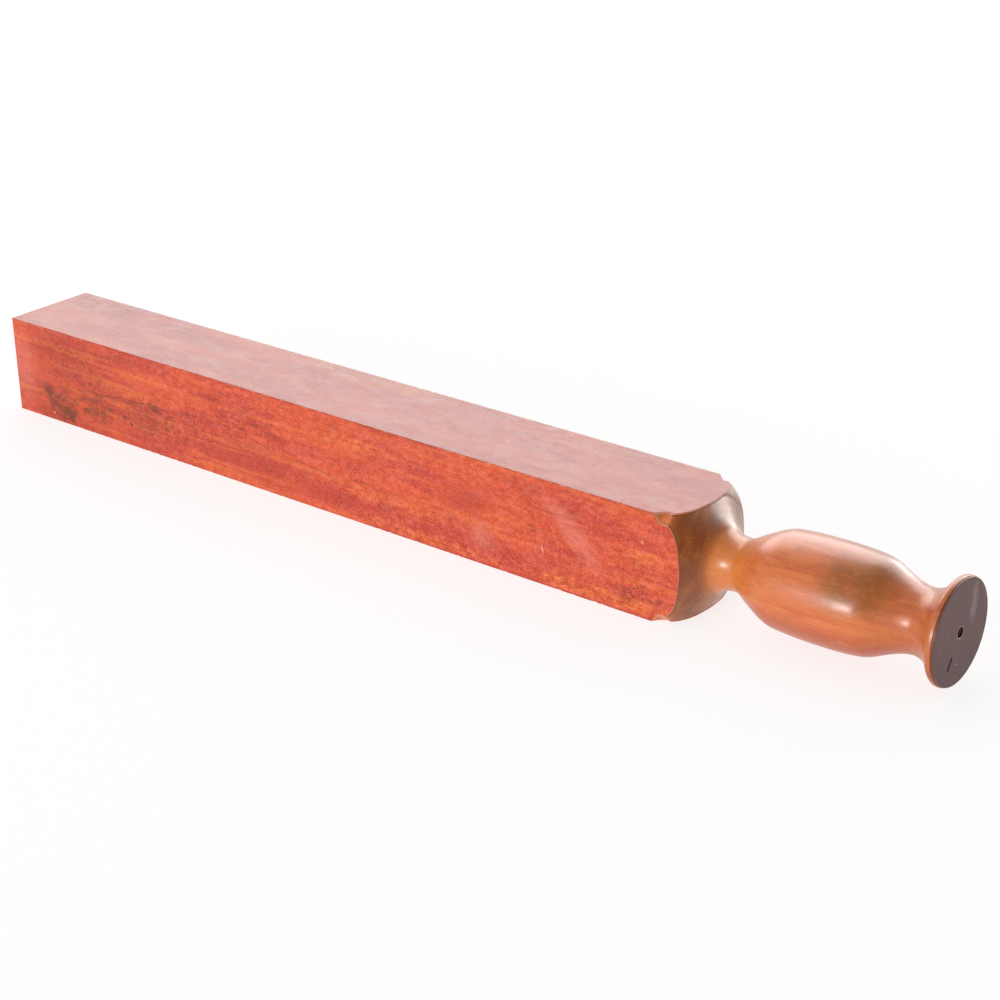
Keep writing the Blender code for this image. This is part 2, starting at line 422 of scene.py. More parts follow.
def build_disc():
    """The pommel disc: a cut leather round with a rolled edge, a countersunk hole and the drive slot."""
    back = DISC_BACK - FAR_END
    face = PALM_END - FAR_END
    outline = [
        (back, CENTRE_HOLE_RADIUS),
        (back, DISC_RADIUS - DISC_BACK_CHAMFER),
        (back + DISC_BACK_CHAMFER, DISC_RADIUS),
    ]
    for step in range(7):
        angle = math.radians(15.0) * step
        distance = face - DISC_EDGE_ROUNDING * (1.0 - math.sin(angle))
        radius = DISC_RADIUS - DISC_EDGE_ROUNDING * (1.0 - math.cos(angle))
        outline.append((distance, radius))
    for share in (0.95, 0.85, 0.7, 0.5, 0.3, 0.15):
        outline.append((face - DISC_DISHING * (1.0 - share), DISC_RADIUS * share))
    outline.append((face - 0.04 * MM, CENTRE_HOLE_RADIUS + HOLE_CHAMFER))
    outline.append((face - 0.2 * MM, CENTRE_HOLE_RADIUS + 0.03 * MM))
    disc = turned("pommel_round", outline, ring=True)
    for vertex in disc.data.vertices:
        radius = math.hypot(vertex.co.y, vertex.co.z - AXIS_HEIGHT)
        if radius > DISC_RADIUS * 0.9:
            away = Vector((0.0, vertex.co.y, vertex.co.z - AXIS_HEIGHT)) / radius
            waver = noise.noise(away * 6.0) * 0.6 + noise.noise(away * 21.0) * 0.4
            vertex.co -= away * DISC_WAVER * (0.5 + waver)
    slot = build_slot_cutter()
    cut(disc, slot, "DIFFERENCE")
    discard(slot)
    return disc


# ---------------------------------------------------------------- materials


def srgb(red, green, blue):
    """A linear RGBA colour from 0 to 255 display values."""
    linear = []
    for value in (red / 255.0, green / 255.0, blue / 255.0):
        linear.append(value / 12.92 if value <= 0.04045 else ((value + 0.055) / 1.055) ** 2.4)
    return (*linear, 1.0)


SHOULDER_BROWN = srgb(134, 68, 18)


class Pattern:
    """One material being built. Each method adds nodes and returns the socket with their result.

    Places are in millimetres: x from the far end, y from the axis and z above the resting face.
    """

    def __init__(self, name):
        self.material = bpy.data.materials.new(name)
        self.material.use_nodes = True
        self.tree = self.material.node_tree
        self.shader = self.tree.nodes["Principled BSDF"]
        position = self.tree.nodes.new("ShaderNodeTexCoord").outputs["Object"]
        millimetres = self.vector("MULTIPLY", position, (1000.0, 1000.0, 1000.0))
        self.place = self.vector("SUBTRACT", millimetres, (FAR_END / MM, 0.0, 0.0))
        self.x, self.y, self.z = self.split(self.place)

    def feed(self, socket, value):
        """Links a socket to another, or sets its own value."""
        if isinstance(value, bpy.types.NodeSocket):
            self.tree.links.new(value, socket)
        else:
            socket.default_value = value

    def vector(self, operation, first, second):
        """A vector operation on two vectors."""
        node = self.tree.nodes.new("ShaderNodeVectorMath")
        node.operation = operation
        self.feed(node.inputs[0], first)
        self.feed(node.inputs[1], second)
        return node.outputs["Vector"]

    def split(self, vector):
        """A vector's three parts."""
        node = self.tree.nodes.new("ShaderNodeSeparateXYZ")
        self.feed(node.inputs[0], vector)
        return node.outputs

    def join(self, x, y, z=0.0):
        """A vector of three parts."""
        node = self.tree.nodes.new("ShaderNodeCombineXYZ")
        for socket, value in zip(node.inputs, (x, y, z)):
            self.feed(socket, value)
        return node.outputs[0]

    def maths(self, operation, first, second=0.0):
        """A maths operation on two values."""
        node = self.tree.nodes.new("ShaderNodeMath")
        node.operation = operation
        self.feed(node.inputs[0], first)
        self.feed(node.inputs[1], second)
        return node.outputs[0]

    def add(self, first, second):
        """The sum of two values."""
        return self.maths("ADD", first, second)

    def times(self, first, second):
        """The product of two values."""
        return self.maths("MULTIPLY", first, second)

    def minus(self, first, second):
        """One value less another."""
        return self.maths("SUBTRACT", first, second)

    def length(self, first, second):
        """The length of a plane vector with these two parts."""
        squares = self.add(self.maths("POWER", first, 2.0), self.maths("POWER", second, 2.0))
        return self.maths("SQRT", squares)

    def distance(self, value, centre):
        """How far a value is from a centre."""
        return self.maths("ABSOLUTE", self.minus(value, centre))

    def from_axis(self):
        """How far a place is from the strop's axis."""
        return self.length(self.distance(self.y, 0.0), self.distance(self.z, HALF_SIDE_MM))

    def most(self, values):
        """The largest of several values."""
        result = values[0]
        for value in values[1:]:
            result = self.maths("MAXIMUM", result, value)
        return result

    def step(self, value, low, high, bottom=0.0, top=1.0):
        """A soft step in a value: bottom up to low, top from high."""
        node = self.tree.nodes.new("ShaderNodeMapRange")
        node.interpolation_type = "SMOOTHSTEP"
        self.feed(node.inputs["Value"], value)
        node.inputs["From Min"].default_value = low
        node.inputs["From Max"].default_value = high
        node.inputs["To Min"].default_value = bottom
        node.inputs["To Max"].default_value = top
        return node.outputs["Result"]

    def between(self, value, low, high, soft):
        """1 between two values, fading to 0 outside them."""
        half = (high - low) / 2
        return self.step(self.distance(value, low + half), half, half + soft, 1.0, 0.0)

    def noise(self, size, seed, detail=3.0, roughness=0.55, distortion=0.0, place=None):
        """Noise about 0.5 whose features have this size in millimetres along each axis."""
        scaled = self.vector("MULTIPLY", place or self.place, tuple(1.0 / each for each in size))
        node = self.tree.nodes.new("ShaderNodeTexNoise")
        self.feed(node.inputs["Vector"], self.vector("ADD", scaled, (seed, seed * 1.7, seed * 2.3)))
        node.inputs["Scale"].default_value = 1.0
        node.inputs["Detail"].default_value = detail
        node.inputs["Roughness"].default_value = roughness
        node.inputs["Distortion"].default_value = distortion
        return node.outputs["Fac"]

    def cells(self, size, seed, feature="F1", place=None):
        """The distance to the nearest cell centre, or edge, of a cell pattern of this size."""
        scaled = self.vector("MULTIPLY", place or self.place, tuple(1.0 / each for each in size))
        node = self.tree.nodes.new("ShaderNodeTexVoronoi")
        node.feature = feature
        self.feed(node.inputs["Vector"], self.vector("ADD", scaled, (seed, seed * 1.3, seed * 0.7)))
        node.inputs["Scale"].default_value = 1.0
        return node.outputs["Distance"]

    def blend(self, factor, first, second, mode="MIX"):
        """Mixes a second colour into a first."""
        node = self.tree.nodes.new("ShaderNodeMix")
        node.data_type = "RGBA"
        node.blend_type = mode
        colours = [socket for socket in node.inputs if socket.type == "RGBA"]
        self.feed(node.inputs["Factor"], factor)
        self.feed(colours[0], first)
        self.feed(colours[1], second)
        return next(socket for socket in node.outputs if socket.type == "RGBA")

    def shade(self, colour, value):
        """Multiplies a colour by a grey value."""
        return self.blend(1.0, colour, self.join(value, value, value), "MULTIPLY")

    def bump(self, height, distance):
        """Feeds a height of 0 to 1, worth this distance in metres, to the shader as relief."""
        node = self.tree.nodes.new("ShaderNodeBump")
        node.inputs["Distance"].default_value = distance
        self.feed(node.inputs["Height"], height)
        self.feed(self.shader.inputs["Normal"], node.outputs["Normal"])

    def finish(self, colour, roughness, **constants):
        """Feeds the shader its colour and roughness, and sets its constant inputs."""
        self.feed(self.shader.inputs["Base Color"], colour)
        self.feed(self.shader.inputs["Roughness"], roughness)
        for name, value in constants.items():
            self.shader.inputs[name.replace("_", " ")].default_value = value
        return self.material


def wood_material():
    """Satin-varnished, close-grained wood: orange-brown, golden at the neck, darker on the end grain;
    painted shade on the underside, towards the pommel and in the centre hole.
    """
    p = Pattern("turned_wood")
    sway = p.noise((120.0, 30.0, 30.0), 4.0, detail=1.0)
    bent = p.vector("ADD", p.place, p.join(0.0, p.times(sway, 9.0), p.times(sway, 14.0)))
    rings = p.noise((190.0, 3.4, 1.5), 2.0, detail=3.0, distortion=0.3, place=bent)
    patches = p.noise((22.0, 8.0, 8.0), 9.0, detail=3.0)
    figure = p.noise((6.0, 2.4, 2.4), 14.0, detail=4.0, roughness=0.6)
    fibre = p.noise((6.5, 0.36, 0.36), 21.0, detail=3.0)
    hair = p.noise((2.6, 0.14, 0.14), 33.0, detail=2.0)
    pores = p.step(p.cells((2.8, 0.36, 0.36), 5.0), 0.05, 0.16, 1.0, 0.0)
    pores = p.times(pores, p.step(p.noise((14.0, 2.0, 2.0), 41.0), 0.45, 0.58))
    radius = p.from_axis()

    colour = p.blend(p.step(rings, 0.36, 0.66), srgb(226, 124, 64), srgb(212, 106, 52))
    colour = p.blend(p.step(patches, 0.50, 0.68, top=0.45), colour, srgb(210, 118, 46))
    colour = p.blend(p.step(patches, 0.46, 0.34, top=0.55), colour, srgb(203, 92, 54))
    # Painted shade: the lower side of the handle is painted darker and redder.
    painted_underside_shade = p.times(p.step(p.z, 22.0, 11.0, top=0.8), p.between(p.x, 384.0, 480.0, 8.0))
    colour = p.blend(painted_underside_shade, colour, srgb(172, 70, 28))
    ochre = p.times(p.between(p.x, 436.0, 448.0, 12.0), p.between(p.z, 31.0, 38.0, 8.0))
    colour = p.blend(p.times(ochre, p.step(figure, 0.30, 0.60, 0.6, 0.95)), colour, srgb(158, 88, 26))
    golden = p.between(p.x, 378.0, 392.0, 9.0)
    colour = p.blend(p.times(golden, 0.5), colour, srgb(226, 138, 62))
    colour = p.blend(p.step(figure, 0.54, 0.70, top=0.35), colour, srgb(222, 138, 70))
    colour = p.shade(colour, p.step(fibre, 0.34, 0.66, 0.92, 1.06))
    colour = p.shade(colour, p.step(hair, 0.30, 0.70, 0.93, 1.05))
    colour = p.blend(p.times(pores, 0.5), colour, srgb(118, 54, 24))
    # Painted shade: the wood is darkened towards the pommel end.
    colour = p.shade(colour, p.step(p.x, 444.0, 472.0, 1.0, 0.80))

    normal = p.tree.nodes.new("ShaderNodeNewGeometry").outputs["Normal"]
    end_grain = p.step(p.maths("ABSOLUTE", p.split(normal)[0]), 0.30, 0.80)
    far_face = p.times(end_grain, p.step(p.x, 8.0, 5.0))
    from_pith = p.add(p.length(p.distance(p.y, 8.0), p.distance(p.z, -26.0)), p.times(sway, 6.0))
    arcs = p.noise((1.9, 30.0, 30.0), 61.0, detail=3.0, place=p.join(from_pith, p.y))
    tubes = p.step(p.noise((9.0, 0.45, 0.45), 67.0, detail=3.0, roughness=0.7), 0.50, 0.64)
    leaning = p.join(p.x, p.y, p.add(p.z, p.times(p.y, 0.3)))
    saw_marks = p.noise((9.0, 40.0, 0.8), 71.0, detail=2.0, place=leaning)
    sawn = p.blend(p.step(arcs, 0.38, 0.62), srgb(190, 118, 66), srgb(146, 82, 42))
    sawn = p.blend(p.times(tubes, 0.5), sawn, srgb(104, 54, 28))
    sawn = p.shade(sawn, p.step(saw_marks, 0.34, 0.66, 0.86, 1.06))
    colour = p.blend(far_face, colour, sawn)

    shoulder = p.times(end_grain, p.between(p.x, 366.0, 376.0, 7.0))
    turning = p.noise((0.30, 0.30, 0.30), 3.0, detail=3.0, place=p.join(p.x, radius))
    speckle = p.noise((0.5, 0.9, 0.6), 51.0, detail=3.0, roughness=0.7)
    colour = p.blend(p.times(shoulder, 0.92), colour, SHOULDER_BROWN)
    glow = p.times(p.times(shoulder, p.step(patches, 0.42, 0.60)), p.step(speckle, 0.40, 0.58))
    colour = p.blend(p.times(glow, 0.65), colour, srgb(196, 118, 34))
    dark_rings = p.times(shoulder, p.step(turning, 0.52, 0.68, top=0.40))
    colour = p.blend(dark_rings, colour, srgb(104, 52, 20))
    pale_rings = p.times(shoulder, p.step(turning, 0.46, 0.34, top=0.30))
    colour = p.blend(pale_rings, colour, srgb(178, 110, 50))
    # Painted shade: the walls of the centre hole are darkened.
    painted_hole_shade = p.times(p.between(p.x, 455.0, 480.0, 1.0), p.step(radius, 2.6, 1.7))
    colour = p.blend(p.times(painted_hole_shade, 0.75), colour, srgb(58, 30, 18))

    relief = p.add(p.times(fibre, 0.5), p.times(p.minus(1.0, pores), 0.5))
    p.bump(relief, WOOD_RELIEF)
    roughness = p.add(p.step(figure, 0.3, 0.7, 0.34, 0.42), p.times(pores, 0.2))
    return p.finish(
        colour, roughness, Specular_IOR_Level=0.42, Coat_Weight=0.28, Coat_Roughness=0.21, Coat_IOR=1.5
    )


def stain(p, u, v, centre, size, seed, ragged=1.8):
    """A soft, uneven stain of a face, from its centre and half-sizes in millimetres."""
    edge = p.noise((5.0, 3.0, 3.0), seed, detail=4.0, roughness=0.65)
    across = p.times(p.distance(u, centre[0]), 1.0 / size[0])
    up = p.times(p.distance(v, centre[1]), 1.0 / size[1])
    return p.step(p.add(p.length(across, up), p.times(p.minus(edge, 0.5), ragged)), 1.15, 0.25)


def crack(p, u, v, start, end, width, seed):
    """A fine, wandering, broken line across a face between two places in millimetres."""
    slope = (end[1] - start[1]) / (end[0] - start[0])
    path = p.noise((6.0, 40.0, 40.0), seed, detail=4.0, roughness=0.6)
    wander = p.times(p.minus(path, 0.5), 3.6)
    middle = p.add(p.times(p.minus(u, start[0]), slope), start[1])
    off = p.distance(p.add(v, wander), middle)
    line = p.step(off, width, width * 0.2)
    broken = p.step(p.noise((3.0, 2.0, 2.0), seed + 5.0, detail=3.0), 0.40, 0.52)
    return p.times(p.times(line, broken), p.between(u, start[0], end[0], 3.0))


def leather_material(name, across, normal, seed, features):
    """Dyed-red leather with clouds, grain, stains, rubbed arrises, pale dust with painted glints and
    smears with painted sheen; one for each facing.

    across is the axis over the facing's width and normal the one it faces along. features holds the
    marks that this facing alone shows.
    """
    p = Pattern(name)
    axes = {"y": p.add(p.y, HALF_SIDE_MM), "z": p.z}
    u = p.x
    v = axes[across]
    depth = p.minus(HALF_SIDE_MM, p.distance(axes[normal], HALF_SIDE_MM))

    tone = p.noise((48.0, 11.0, 11.0), seed, detail=4.0, roughness=0.6)
    bands = p.noise((95.0, 4.2, 4.2), seed + 3.0, detail=3.0, roughness=0.6, distortion=0.2)
    blotch = p.noise((13.0, 6.5, 6.5), seed + 6.0, detail=5.0, roughness=0.65)
    streaks = p.noise((14.0, 0.9, 0.9), seed + 9.0, detail=3.0, distortion=0.5)
    fibre = p.noise((2.6, 0.5, 0.5), seed + 12.0, detail=3.0, roughness=0.6)
    mottle = p.noise((3.4, 2.2, 2.2), seed + 15.0, detail=4.0, roughness=0.7)
    grit = p.noise((1.0, 0.7, 0.7), seed + 18.0, detail=3.0, roughness=0.7)
    contrast = features["contrast"]

    colour = p.blend(p.step(tone, 0.42, 0.58), features["base"], features["deep"])
    colour = p.blend(p.step(bands, 0.52, 0.66, top=features["banding"]), colour, features["bright"])
    colour = p.blend(p.step(blotch, 0.50, 0.66, top=0.60), colour, features["pink"])
    colour = p.blend(p.step(blotch, 0.47, 0.32, top=0.45 * contrast), colour, features["dark"])
    texture = p.add(p.step(streaks, 0.36, 0.62, top=0.5), p.step(mottle, 0.40, 0.60, top=0.5))
    for centre, size, strength in features["bright_zones"]:
        zone = p.times(stain(p, u, v, centre, size, seed + 20.0), texture)
        colour = p.blend(p.times(zone, strength), colour, features["bright"])
    for value, depth_of_shade in ((streaks, 0.05), (fibre, 0.05), (mottle, 0.10), (grit, 0.09)):
        low = 1.0 - depth_of_shade * contrast
        high = 1.0 + depth_of_shade * contrast * 0.8
        colour = p.shade(colour, p.step(value, 0.34, 0.66, low, high))
    # Pale speckle blended into the colour: partly dust, partly painted glints of light off the grain.
    dust_and_painted_glints = p.add(p.step(grit, 0.40, 0.68, top=0.15), p.step(mottle, 0.42, 0.66, top=0.11))
    colour = p.blend(p.times(dust_and_painted_glints, contrast), colour, srgb(240, 176, 156))

    texture = p.step(mottle, 0.44, 0.58, 0.3, 1.0)
    for centre, size, strength in features["dark_zones"]:
        zone = p.times(stain(p, u, v, centre, size, seed + 27.0), texture)
        colour = p.blend(p.times(zone, strength), colour, features["dark"])
    texture = p.step(mottle, 0.44, 0.58, 0.4, 1.0)
    for centre, size, strength in features["stains"]:
        zone = p.times(stain(p, u, v, centre, size, seed + 31.0, ragged=2.6), texture)
        colour = p.blend(p.times(zone, strength), colour, features["soil"])
    for start, end, width, strength in features["cracks"]:
        line = crack(p, u, v, start, end, width, seed + start[0])
        colour = p.blend(p.times(line, strength), colour, features["soil"])

    cluster = p.step(p.noise((30.0, 14.0, 14.0), seed + 36.0, detail=2.0), 0.54, 0.74, top=0.5)
    for centre, size, strength in features["speck_zones"]:
        cluster = p.most([cluster, p.times(stain(p, u, v, centre, size, seed + 38.0), strength)])
    specks = p.step(p.noise((2.0, 1.4, 1.4), seed + 40.0, detail=3.0, roughness=0.65), 0.51, 0.60)
    specks = p.times(specks, cluster)
    colour = p.blend(p.times(specks, 0.6 * features["speck"]), colour, features["dark"])
    colour = p.blend(p.times(specks, 0.5 * features["speck"]), colour, features["soil"])

    slanted = p.join(p.add(u, p.times(v, 0.45)), p.times(v, 0.35))
    crackle = p.step(p.cells((6.0, 6.0, 1.0), seed + 47.0, "DISTANCE_TO_EDGE", slanted), 0.05, 0.015)
    crackle = p.times(crackle, p.step(p.noise((7.0, 4.0, 4.0), seed + 49.0, detail=3.0), 0.47, 0.57))
    crackle = p.times(crackle, p.between(u, *features["crackle_along"], 25.0))
    crackle = p.times(crackle, p.between(v, *features["crackle_up"], 4.0))
    colour = p.blend(p.times(crackle, 0.6), colour, features["dark"])

    # Pale hazy patches blended into the colour: partly smears, partly painted sheen.
    smear_and_painted_sheen = 0.0
    for centre, size, slant, strength in features["smear_and_painted_sheen"]:
        leaning = p.add(u, p.times(p.minus(v, centre[1]), slant))
        smear_and_sheen_patch = p.times(stain(p, leaning, v, centre, size, seed + 52.0, ragged=0.9), strength)
        smear_and_painted_sheen = p.maths("MAXIMUM", smear_and_painted_sheen, smear_and_sheen_patch)
    colour = p.blend(smear_and_painted_sheen, colour, srgb(238, 160, 142))

    edge = p.minus(HALF_SIDE_MM, p.distance(v, HALF_SIDE_MM))
    broken = p.noise((3.0, 1.0, 1.0), seed + 57.0, detail=4.0, roughness=0.7)
    rubbed_dark = p.times(p.step(edge, 0.9, 0.3), p.step(broken, 0.46, 0.56))
    rubbed_pale = p.times(p.step(edge, 0.7, 0.2), p.step(broken, 0.44, 0.36))
    colour = p.blend(p.times(rubbed_dark, features["rubbing"]), colour, features["dark"])
    colour = p.blend(p.times(rubbed_pale, 0.5), colour, srgb(228, 150, 128))

    layers = p.noise((2.4, 0.5, 0.5), seed + 61.0, detail=3.0)
    scoop = p.blend(p.step(layers, 0.38, 0.62), srgb(206, 142, 92), srgb(184, 112, 66))
    cut_edge = p.blend(p.step(u, 367.4, 368.6), scoop, SHOULDER_BROWN)
    cut_edge = p.blend(p.step(depth, 0.60, 0.40, top=0.85), cut_edge, srgb(232, 146, 118))
    raw = p.step(depth, 0.10, 0.16)
    colour = p.blend(raw, colour, cut_edge)

    pebble = p.cells((0.62, 0.62, 0.62), seed + 64.0)
    relief = p.add(p.times(pebble, 0.35), p.add(p.times(fibre, 0.35), p.times(mottle, 0.5)))
    relief = p.minus(relief, p.times(p.most([crackle, specks]), 0.5))
    p.bump(relief, LEATHER_RELIEF)
    roughness = p.add(p.step(blotch, 0.35, 0.65, 0.38, 0.46), p.times(raw, 0.06))
    roughness = p.add(roughness, p.step(mottle, 0.35, 0.65, -0.03, 0.05))
    return p.finish(colour, roughness, Specular_IOR_Level=0.33, Sheen_Weight=0.02, Sheen_Roughness=0.4)


def disc_material():
    """Dark purple-brown leather with a pale grey patch on its face, a paler edge and a paler ring round
    the hole, and painted shade towards the bottom, in the hole and in the drive slot.
    """
    p = Pattern("dark_leather")
    tone = p.noise((9.0, 9.0, 9.0), 3.0, detail=4.0, roughness=0.6)
    streak = p.noise((2.0, 1.2, 11.0), 8.0, detail=3.0)
    mottle = p.noise((0.9, 0.9, 0.9), 12.0, detail=3.0)
    colour = p.blend(p.step(tone, 0.36, 0.64), srgb(90, 46, 44), srgb(108, 64, 62))
    colour = p.shade(colour, p.step(streak, 0.32, 0.68, 0.86, 1.12))
    colour = p.shade(colour, p.step(mottle, 0.30, 0.70, 0.90, 1.10))
    # Painted shade: the disc is darkened towards its bottom.
    colour = p.shade(colour, p.step(p.z, 26.0, 8.0, 1.0, 0.84))
    grey = p.times(stain(p, p.y, p.z, (9.0, 31.0), (3.0, 9.0), 17.0), 0.5)
    colour = p.blend(grey, colour, srgb(150, 134, 134))
    speck = stain(p, p.y, p.z, (-1.5, 10.4), (0.5, 0.5), 19.0)
    colour = p.blend(p.times(speck, 0.7), colour, srgb(200, 186, 180))
    radius = p.from_axis()
    colour = p.blend(p.step(radius, 20.0, 20.25, top=0.8), colour, srgb(124, 74, 54))
    colour = p.blend(p.step(radius, 2.75, 2.35), colour, srgb(150, 112, 92))
    # Painted shade: the hole's wall and countersink are darkened.
    colour = p.blend(p.step(radius, 2.25, 2.0), colour, srgb(74, 42, 28))
    face = (PALM_END - FAR_END) / MM
    # Painted shade: the drive slot, the hole and the other surfaces sunk below the face are darkened.
    painted_recess_shade = p.step(p.x, face - 0.06, face - 0.25)
    colour = p.blend(p.times(painted_recess_shade, p.step(radius, 19.8, 19.0)), colour, srgb(46, 24, 18))
    relief = p.add(p.times(p.cells((0.7, 0.7, 0.7), 23.0), 0.5), p.times(mottle, 0.6))
    p.bump(relief, LEATHER_RELIEF)
    roughness = p.step(tone, 0.35, 0.65, 0.38, 0.50)
    return p.finish(colour, roughness, Specular_IOR_Level=0.32)


# What each facing shows: its colours, how strong its contrast, bands, rubbing and specks are, and its
# marks. Zones and stains are (centre, half-sizes, strength), pale hazy patches of smear and painted
# sheen (centre, half-sizes, slant, strength) and cracks (start, end, half-width, strength). Places are
# in millimetres from the far end and from the facing's front or lower arris.
FRONT_MARKS = {
    "base": srgb(217, 69, 10),
    "deep": srgb(196, 46, 12),
    "bright": srgb(233, 110, 26),
    "pink": srgb(216, 78, 42),
    "dark": srgb(164, 44, 16),
    "soil": srgb(84, 46, 14),
    "contrast": 1.0,
    "banding": 0.55,
    "rubbing": 0.6,
    "speck": 0.9,
    "bright_zones": (
        ((70.0, 25.0), (26.0, 4.0), 0.8),
        ((88.0, 34.5), (14.0, 2.0), 0.7),
        ((209.0, 36.0), (22.0, 2.6), 0.8),
        ((357.0, 25.0), (12.0, 3.6), 0.9),
        ((337.0, 4.0), (40.0, 4.0), 1.2),
        ((250.0, 3.0), (50.0, 3.0), 0.7),
        ((235.0, 14.0), (40.0, 3.5), 0.6),
    ),
    "dark_zones": (
        ((32.0, 35.0), (14.0, 8.0), 0.6),
        ((130.0, 35.5), (8.0, 3.4), 0.7),
        ((154.0, 29.5), (5.0, 2.0), 0.8),
        ((271.0, 26.0), (18.0, 7.0), 0.55),
        ((305.0, 23.5), (3.0, 1.8), 0.8),
        ((168.0, 26.0), (9.0, 2.5), 0.6),
        ((40.0, 2.0), (38.0, 4.0), 0.6),
        ((42.0, 20.0), (60.0, 32.0), 0.36),
        ((150.0, 12.0), (46.0, 12.0), 0.34),
        ((196.0, 8.0), (30.0, 5.0), 0.3),
    ),
    "stains": (
        ((30.0, 8.0), (17.0, 11.0), 0.6),
        ((33.0, 5.5), (8.0, 4.5), 0.6),
        ((23.0, 14.0), (4.4, 4.0), 0.7),
        ((55.0, 12.5), (11.0, 8.0), 0.6),
        ((88.0, 15.0), (22.0, 8.0), 0.22),
        ((51.0, 24.0), (1.4, 0.9), 0.9),
        ((73.0, 13.0), (1.8, 1.2), 0.9),
        ((77.0, 10.0), (1.4, 0.9), 0.9),
        ((64.0, 14.5), (2.4, 1.0), 0.7),
        ((93.0, 21.5), (3.0, 1.5), 0.8),
        ((114.0, 24.5), (2.0, 0.9), 0.8),
    ),
    "cracks": (
        ((44.0, 19.0), (90.0, 22.8), 0.45, 0.75),
        ((28.0, 11.5), (50.0, 16.0), 0.4, 0.6),
        ((96.0, 23.0), (122.0, 24.5), 0.4, 0.5),
        ((158.0, 21.0), (200.0, 17.5), 0.45, 0.55),
        ((212.0, 18.5), (222.0, 18.0), 0.45, 0.5),
    ),
    "speck_zones": (
        ((357.0, 10.0), (17.0, 6.5), 0.9),
        ((38.0, 30.0), (26.0, 15.0), 0.7),
        ((32.0, 9.0), (15.0, 10.0), 1.0),
        ((57.0, 13.0), (12.0, 8.0), 0.9),
        ((95.0, 17.0), (34.0, 10.0), 0.75),
        ((150.0, 27.0), (24.0, 10.0), 0.55),
        ((305.0, 23.0), (3.5, 2.5), 0.6),
    ),
    "crackle_along": (205.0, 330.0),
    "crackle_up": (0.0, 9.0),
    "smear_and_painted_sheen": (
        ((324.5, 26.0), (8.5, 15.0), 0.875, 0.24),
        ((280.0, 12.0), (8.5, 7.5), 0.0, 0.22),
        ((3.0, 24.0), (13.0, 21.0), 0.0, 0.20),
        ((24.0, 3.5), (0.8, 0.7), 0.0, 0.8),
        ((310.0, 15.5), (0.6, 2.2), 0.3, 0.7),
        ((336.0, 12.0), (1.3, 0.8), 0.0, 0.5),
        ((357.0, 31.5), (0.9, 1.2), 0.0, 0.5),
    ),
}
# The top facing is the same red leather as the others; its paler, pinker, duller colours and weaker
# contrast are painted sheen.
TOP_MARKS_AND_PAINTED_SHEEN = {
    "base": srgb(196, 98, 78),
    "deep": srgb(176, 80, 74),
    "bright": srgb(208, 132, 96),
    "pink": srgb(204, 114, 102),
    "dark": srgb(152, 78, 80),
    "soil": srgb(124, 44, 38),
    "contrast": 0.6,
    "banding": 0.2,
    "rubbing": 0.15,
    "speck": 0.30,
    "bright_zones": (((202.0, 39.0), (58.0, 6.0), 0.8), ((75.0, 23.0), (14.0, 4.0), 0.6)),
    "dark_zones": (((24.0, 38.0), (34.0, 11.0), 0.7), ((78.0, 34.0), (40.0, 8.0), 0.3)),
    "stains": (
        ((318.0, 22.0), (1.0, 0.7), 0.8),
        ((355.0, 21.0), (1.0, 0.7), 0.8),
        ((312.0, 14.0), (0.9, 0.6), 0.7),
        ((196.0, 8.0), (1.0, 0.7), 0.8),
    ),
    "cracks": (),
    "speck_zones": (),
    "crackle_along": (0.0, 1.0),
    "crackle_up": (0.0, 1.0),
    "smear_and_painted_sheen": (),
}
BACK_MARKS = FRONT_MARKS | {
    "bright_zones": (((120.0, 12.0), (40.0, 4.0), 0.7), ((300.0, 33.0), (45.0, 4.0), 0.7)),
    "dark_zones": (((210.0, 20.0), (30.0, 8.0), 0.5), ((60.0, 34.0), (12.0, 5.0), 0.6)),
    "stains": (((332.0, 12.0), (8.0, 5.0), 0.6), ((148.0, 27.0), (2.5, 1.5), 0.7)),
    "cracks": (((226.0, 26.0), (290.0, 23.0), 0.5, 0.7),),
    "speck_zones": (((90.0, 28.0), (18.0, 8.0), 0.8),),
    "crackle_along": (60.0, 180.0),
    "smear_and_painted_sheen": (((180.0, 24.0), (7.0, 12.0), 0.5, 0.25),),
}
BOTTOM_MARKS = FRONT_MARKS | {
    "bright_zones": (((180.0, 30.0), (60.0, 5.0), 0.6),),
    "dark_zones": (((90.0, 14.0), (26.0, 7.0), 0.55), ((320.0, 30.0), (18.0, 6.0), 0.5)),
    "stains": (((250.0, 16.0), (6.0, 4.0), 0.5),),
    "cracks": (((120.0, 20.0), (170.0, 23.0), 0.5, 0.6),),
    "speck_zones": (((40.0, 20.0), (20.0, 9.0), 0.6),),
    "crackle_along": (240.0, 350.0),
    "smear_and_painted_sheen": (),
}


# ---------------------------------------------------------------- studio


